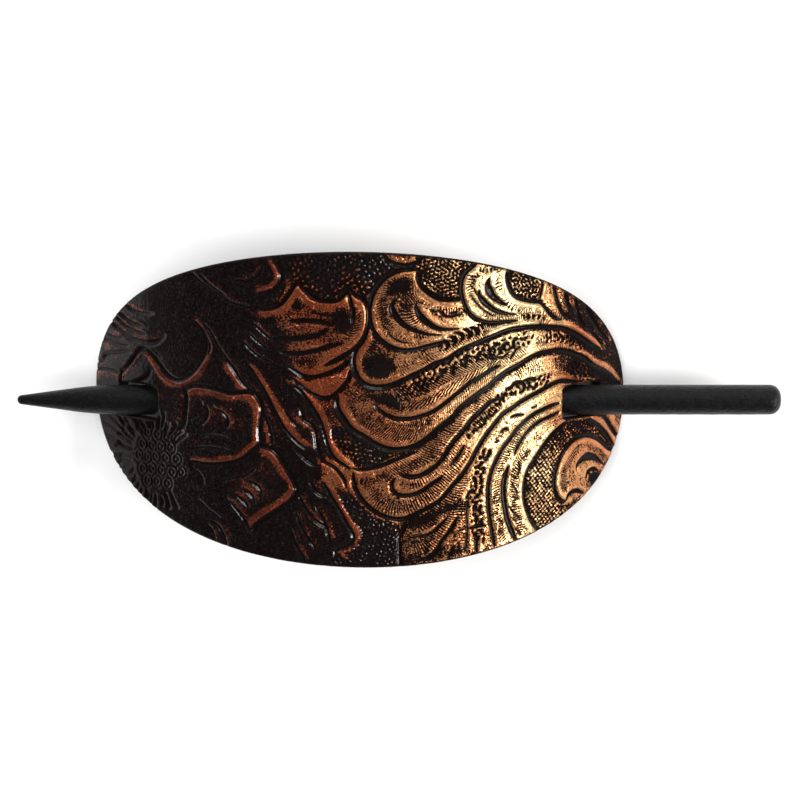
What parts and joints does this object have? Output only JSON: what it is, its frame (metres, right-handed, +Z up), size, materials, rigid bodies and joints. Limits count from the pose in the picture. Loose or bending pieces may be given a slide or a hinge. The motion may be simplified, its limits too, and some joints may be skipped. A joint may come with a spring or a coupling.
{
  "type": "hair bun holder",
  "caption": "Arched oval leather hair bun holder with a slot near each end and a pointed wooden stick that passes through the slots.",
  "frame": {"origin": "on the surface it rests on, under the middle of the stick's length and of the oval's width", "axes": "+X along the stick from its point to its blunt end, +Z up out of the arch, +Y across the oval"},
  "size_m": [0.178, 0.072, 0.0365],
  "materials": {
    "tooled_leather": "embossed, dyed black in the recesses and rubbed copper on the raised parts, satin",
    "painted_wood": "brushed black satin paint"
  },
  "bodies": {
    "leather": {"leather_oval": "tooled_leather"},
    "stick": {"stick": "painted_wood"}
  },
  "joints": [
    {"name": "stick_slide", "type": "slide", "parent": "leather", "child": "stick", "axis": [1, 0, 0], "range_m": [-0.035, 0.12]}
  ]
}
